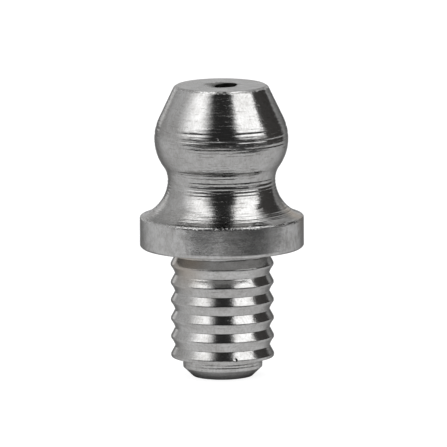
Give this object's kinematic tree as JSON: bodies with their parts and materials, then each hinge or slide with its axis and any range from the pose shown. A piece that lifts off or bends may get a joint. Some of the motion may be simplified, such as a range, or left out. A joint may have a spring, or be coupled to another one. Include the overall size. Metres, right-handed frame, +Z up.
{
  "type": "grease nipple",
  "caption": "Straight drive-in grease nipple: a coupler head on a round collar, a ribbed press-in shank, and a spring-loaded check ball inside.",
  "frame": {"origin": "centre of the collar's underside, the face that lies on the greased housing", "axes": "+Z up the axis to the head that the grease coupler grips; the inlet hole lies off the axis towards +X and +Y"},
  "size_m": [0.008, 0.008, 0.0142],
  "materials": {
    "plated_steel": "bright zinc plating over fine turning marks",
    "ball_steel": "ground and polished bearing steel",
    "spring_steel": "drawn spring wire"
  },
  "bodies": {
    "fitting": {"body": "plated_steel", "check_spring": "spring_steel"},
    "ball": {"check_ball": "ball_steel"}
  },
  "joints": [
    {"name": "ball_lift", "type": "slide", "parent": "fitting", "child": "ball", "axis": [0, 0, -1], "range_m": [0, 0.0015], "stiffness_N_per_m": 2, "springref_m": -0.001, "deforming": ["check_spring"]}
  ]
}
